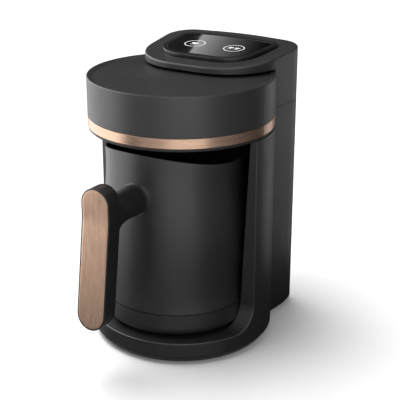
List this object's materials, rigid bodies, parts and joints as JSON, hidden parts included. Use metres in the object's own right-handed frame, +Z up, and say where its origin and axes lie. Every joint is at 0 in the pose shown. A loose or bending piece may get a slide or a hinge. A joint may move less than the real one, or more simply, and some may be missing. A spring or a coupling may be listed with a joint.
{
  "type": "electric turkish coffee maker",
  "caption": "Compact electric Turkish coffee maker: round head over a lift-out jug with a paddle handle, rear column with a tilted touch panel and a copper-coloured band.",
  "frame": {"origin": "on the floor, midway between the face of the grip and the back of the column", "axes": "+X to the right seen from the front, +Y to the back, +Z up"},
  "size_m": [0.15, 0.2284, 0.2345],
  "materials": {
    "shell_black": "fine matt moulded black",
    "under_black": "matt moulded black",
    "foot_rubber": "matt rubber",
    "screw_steel": "zinc plated",
    "display_trim": "satin black",
    "touch_glass": "glossy black back-printed glass",
    "light_guide": "translucent white",
    "circuit_board": "solder mask",
    "component_black": "moulded component cases",
    "copper_band": "brushed, anodised copper colour",
    "copper_inlay": "brushed, anodised copper colour",
    "sensor_lens": "smoked clear",
    "plate_aluminium": "turned",
    "seal_silicone": "matt silicone",
    "element_steel": "plain steel",
    "sleeve_plastic": "heat-resistant nylon",
    "jug_coating": "fine matt black coating",
    "collar_steel": "satin steel",
    "handle_black": "matt moulded black"
  },
  "bodies": {
    "machine": {"body_frame": "shell_black", "base_plate": "under_black", "rubber_feet": "foot_rubber", "foot_screws": "screw_steel", "rear_shell": "shell_black", "cord_gland": "foot_rubber", "top_cap": "shell_black", "display_frame": "display_trim", "display_glass": "touch_glass", "touch_rings": "light_guide", "touch_board": "circuit_board", "buzzer": "component_black", "head_shell": "shell_black", "head_band": "copper_band", "head_floor": "under_black", "head_screws": "screw_steel", "foam_window": "sensor_lens", "foam_board": "circuit_board", "heating_plate": "plate_aluminium", "plate_seal": "seal_silicone", "heating_element": "element_steel", "plate_strap": "element_steel", "strap_bolts": "screw_steel", "thermal_fuse": "component_black", "sensor_sleeve": "sleeve_plastic", "sensor_spring": "screw_steel", "power_board": "circuit_board", "board_screws": "screw_steel", "relay": "component_black", "transformer": "component_black", "capacitors": "component_black", "terminal_block": "sleeve_plastic"},
    "jug": {"jug_wall": "jug_coating", "jug_base_ring": "jug_coating", "jug_base_disc": "element_steel", "handle_collar": "collar_steel", "handle_stud": "element_steel", "handle_core": "handle_black", "handle_plate": "copper_inlay", "handle_bolt": "screw_steel"},
    "plunger": {"sensor_plunger": "plate_aluminium"}
  },
  "joints": [
    {"name": "jug_draw", "type": "slide", "parent": "machine", "child": "jug", "axis": [0, -1, 0], "range_m": [0, 0.16]},
    {"name": "plunger_press", "type": "slide", "parent": "machine", "child": "plunger", "axis": [0, 0, 1], "range_m": [-0.002, 0], "stiffness_N_per_m": 150, "springref_m": 0.004, "deforming": ["sensor_spring"]}
  ]
}
